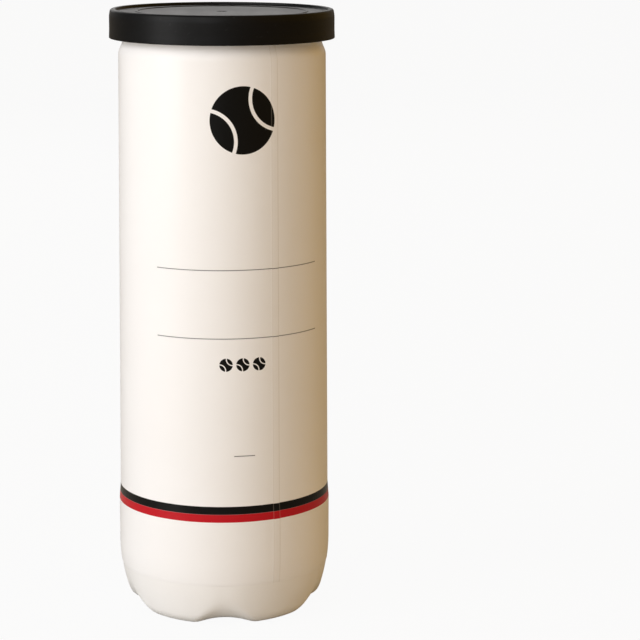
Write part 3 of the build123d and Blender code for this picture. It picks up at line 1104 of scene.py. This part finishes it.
def fuzzTree(sizes):
    # short fibres that stand on the felt and lean every way
    s = ballShape
    lean = s["fuzzLean"]
    smallest, largest = s["fuzzScale"]
    tree = newTree("feltFuzz", sizes)
    source = tree.tree.nodes.new("NodeGroupInput")
    skin = Val(tree, source.outputs["Geometry"])
    count = Val(tree, source.outputs["Count"])
    length = Val(tree, source.outputs["Length"])
    seed = Val(tree, source.outputs["Seed"])
    area = tree.node("GeometryNodeAttributeStatistic", {"domain": "FACE"},
                     {"Geometry": skin, 2: tree.node("GeometryNodeInputMeshFaceArea")}, out="Sum")
    dense = tree.node("ShaderNodeMath", {"operation": "DIVIDE"}, {0: count, 1: area})
    spread = tree.node("GeometryNodeDistributePointsOnFaces", None,
                       {"Mesh": skin, "Density": dense, "Seed": seed})
    points = spread.socket.node
    rotation = Val(tree, points.outputs["Rotation"])
    turn = tree.node("FunctionNodeRandomValue", {"data_type": "FLOAT_VECTOR"},
                     {0: tuple(-part for part in lean), 1: lean, "Seed": seed})
    turned = tree.node("FunctionNodeRotateRotation", {"rotation_space": "LOCAL"},
                       {"Rotation": rotation, "Rotate By": turn})
    size = tree.node("FunctionNodeRandomValue", {"data_type": "FLOAT"},
                     {2: smallest, 3: largest, "Seed": seed}, out=1)
    fibre = tree.node("GeometryNodeMeshCone", {"fill_type": "NONE"},
                      {"Vertices": 3, "Side Segments": 1, "Radius Top": s["fuzzTip"] * mm,
                       "Radius Bottom": s["fuzzRoot"] * mm, "Depth": length})
    placed = tree.node("GeometryNodeInstanceOnPoints", None,
                       {"Points": spread, "Instance": fibre, "Rotation": turned, "Scale": size})
    closeTree(tree, placed, fuzzFinish)
    return tree


def makeBalls():
    s = ballShape
    low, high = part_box("bottom_ball_felt_a")
    radius = (high.z - low.z) / 2 / mm
    directions, quads = sphereGrid(s["grid"])
    side = seamSide(directions)
    panels = {key: feltPanel(sign, radius, directions, quads, side) for key, sign in (("a", 1), ("b", -1))}
    ribbon = seamRibbon(radius)
    sizes = {"Count": s["fuzzCount"], "Length": s["fuzzLength"] * mm, "Seed": s["fuzzSeed"]}
    tree = fuzzTree(sizes)
    for name, turn in zip(ballNames, s["turns"]):
        low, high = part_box(name + "_felt_a")
        spin = Matrix.Rotation(math.radians(turn), 4, "Z")
        middle = Matrix.Translation((0, 0, (low.z + high.z) / 2)) @ spin
        label = name.split("_")[0] + "Ball"
        for key, (corners, faces) in panels.items():
            feltName = f"{label}Felt{key.upper()}"
            felt = meshObject(feltName, corners, faces, finishes["ball_felt"], sharp=60.0)
            felt.data.transform(middle)
            finishPiece(felt, name, "ball_felt", f"{name}_felt_{key}")
            ground = outerFaces(felt, radius, middle)
            fuzz = bake(ground, tree, sizes, f"{label}Fuzz{key.upper()}")
            bpy.data.objects.remove(ground)
            finishPiece(addObject(fuzz.name, fuzz), name, "ball_felt")
        seam = meshObject(f"{label}Seam", *ribbon, finishes["ball_seam"], sharp=60.0)
        seam.data.transform(middle)
        finishPiece(seam, name, "ball_seam", f"{name}_seam")


def outerFaces(felt, radius, middle):
    # a copy of a panel's outer face for the fuzz to be spread on, removed once that is done
    work = bmesh.new()
    work.from_mesh(felt.data)
    centre = middle.translation
    limit = (radius - 1.0) * mm
    inner = [face for face in work.faces if min((v.co - centre).length for v in face.verts) < limit]
    bmesh.ops.delete(work, geom=inner, context="FACES")
    mesh = bpy.data.meshes.new("fuzzGround")
    work.to_mesh(mesh)
    work.free()
    return addObject("fuzzGround", mesh)


makeBalls()
print("balls made")


keptNodes = {"seam_gasket": "seam_compound", "tab_island": "tab_metal"}
for ballName in ballNames:
    for half in ("core_lower", "core_upper"):
        keptNodes[f"{ballName}_{half}"] = "ball_rubber"
for nodeName, slotName in keptNodes.items():
    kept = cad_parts[nodeName]
    if not kept.material_slots:
        kept.data.materials.append(finishes[slotName])
    for slot in kept.material_slots:
        slot.material = finishes[slotName]
print("kept CAD nodes:", len(keptNodes), "new pieces:", pieceCount)


stageShape = {
    "floorHalf": 9.0,
    "floorColour": (0.50, 0.49, 0.46, 1.0),
    "floorGlow": 0.94,       # how much of plain white the camera sees in the floor
    "lights": {              # place, size and power of each
        "keyLight": ((-1.25, -0.75, 0.55), (0.8, 1.2), 15.0),
        "frontLight": ((-0.5, -1.5, 0.75), (0.8, 0.9), 8.2),
        "backLight": ((-0.3, 1.3, 0.8), (1.2, 0.9), 4.0),
    },
    "aim": (0, 0, 0.11),
    "leftRoom": (0.21, 0.21, 0.20, 1.0),
    "rightRoom": (0.60, 0.35, 0.07, 1.0),
    "rightRise": (0.30, 0.9),
    "backRoom": (0.45, 0.42, 0.40, 1.0),
    "backRise": (0.80, 0.3),
}


def makeFloor():
    half = stageShape["floorHalf"]
    mesh = bpy.data.meshes.new("floor")
    corners = [(-half, -half, 0), (half, -half, 0), (half, half, 0), (-half, half, 0)]
    mesh.from_pydata(corners, [], [(0, 1, 2, 3)])
    floor = addObject("floor", mesh)
    paper = Finish("floorPaper", Roughness=0.9)
    paper.shader.inputs["Base Color"].default_value = stageShape["floorColour"]
    glow = paper.node("ShaderNodeEmission", None, {"Color": (1.0, 1.0, 1.0, 1.0), "Strength": 1.0})
    seen = paper.node("ShaderNodeLightPath", None, None, out="Is Camera Ray")
    both = paper.node("ShaderNodeMixShader", None,
                      {0: seen * stageShape["floorGlow"], 1: Val(paper, paper.shader.outputs[0]), 2: glow})
    out = paper.tree.nodes["Material Output"]
    paper.tree.links.new(both.socket, out.inputs["Surface"])
    mesh.materials.append(paper.material)


def makeLight(name, place, size, power):
    light = bpy.data.lights.new(name, "AREA")
    light.shape = "RECTANGLE"
    light.size, light.size_y = size
    light.energy = power
    made = addObject(name, light)
    made.location = place
    towards = Vector(stageShape["aim"]) - Vector(place)
    made.rotation_euler = towards.to_track_quat("-Z", "Y").to_euler()


def makeWorld():
    s = stageShape
    world = bpy.data.worlds.new("studio")
    world.use_nodes = True
    tree = Nodes(world.node_tree)
    world.node_tree.nodes.clear()
    where = tree.node("ShaderNodeTexCoord", None, None, out="Generated")
    split = tree.node("ShaderNodeSeparateXYZ", None, {0: where}).socket.node
    x = Val(tree, split.outputs[0])
    y = Val(tree, split.outputs[1])
    warm = tree.mix(tree.rise(x, *s["rightRise"]), s["leftRoom"], s["rightRoom"])
    light = tree.mix(tree.rise(y, *s["backRise"]), warm, s["backRoom"])
    seen = tree.node("ShaderNodeLightPath", None, None, out="Is Camera Ray")
    colour = tree.mix(seen, light, (1.0, 1.0, 1.0, 1.0))
    back = tree.node("ShaderNodeBackground", None, {"Color": colour, "Strength": 1.0})
    out = world.node_tree.nodes.new("ShaderNodeOutputWorld")
    world.node_tree.links.new(back.socket, out.inputs["Surface"])
    bpy.context.scene.world = world


viewShape = {
    "place": (0.0, -0.820, 0.2653),
    "down": math.radians(11.15),
    "right": 0.042,
    "roll": 0.003,
    "lens": 131.6,
    "sensor": 36.0,
}


def makeCamera():
    s = viewShape
    camera = bpy.data.cameras.new("camera")
    camera.lens = s["lens"]
    camera.sensor_width = s["sensor"]
    camera.clip_start = 0.05
    camera.clip_end = 40.0
    made = addObject("camera", camera)
    level = math.cos(s["down"])
    forward = Vector((math.sin(s["right"]) * level, math.cos(s["right"]) * level, -math.sin(s["down"])))
    right = Vector((math.cos(s["right"]), -math.sin(s["right"]), 0))
    up = right.cross(forward)
    rolledRight = right * math.cos(s["roll"]) + up * math.sin(s["roll"])
    rolledUp = up * math.cos(s["roll"]) - right * math.sin(s["roll"])
    turn = Matrix((rolledRight, rolledUp, -forward)).transposed().to_4x4()
    made.matrix_world = Matrix.Translation(s["place"]) @ turn
    bpy.context.scene.camera = made


makeFloor()
makeWorld()
for lightName, lightSpec in stageShape["lights"].items():
    makeLight(lightName, *lightSpec)
makeCamera()
bpy.context.scene.view_settings.view_transform = "Standard"
print("floor, light and camera made")
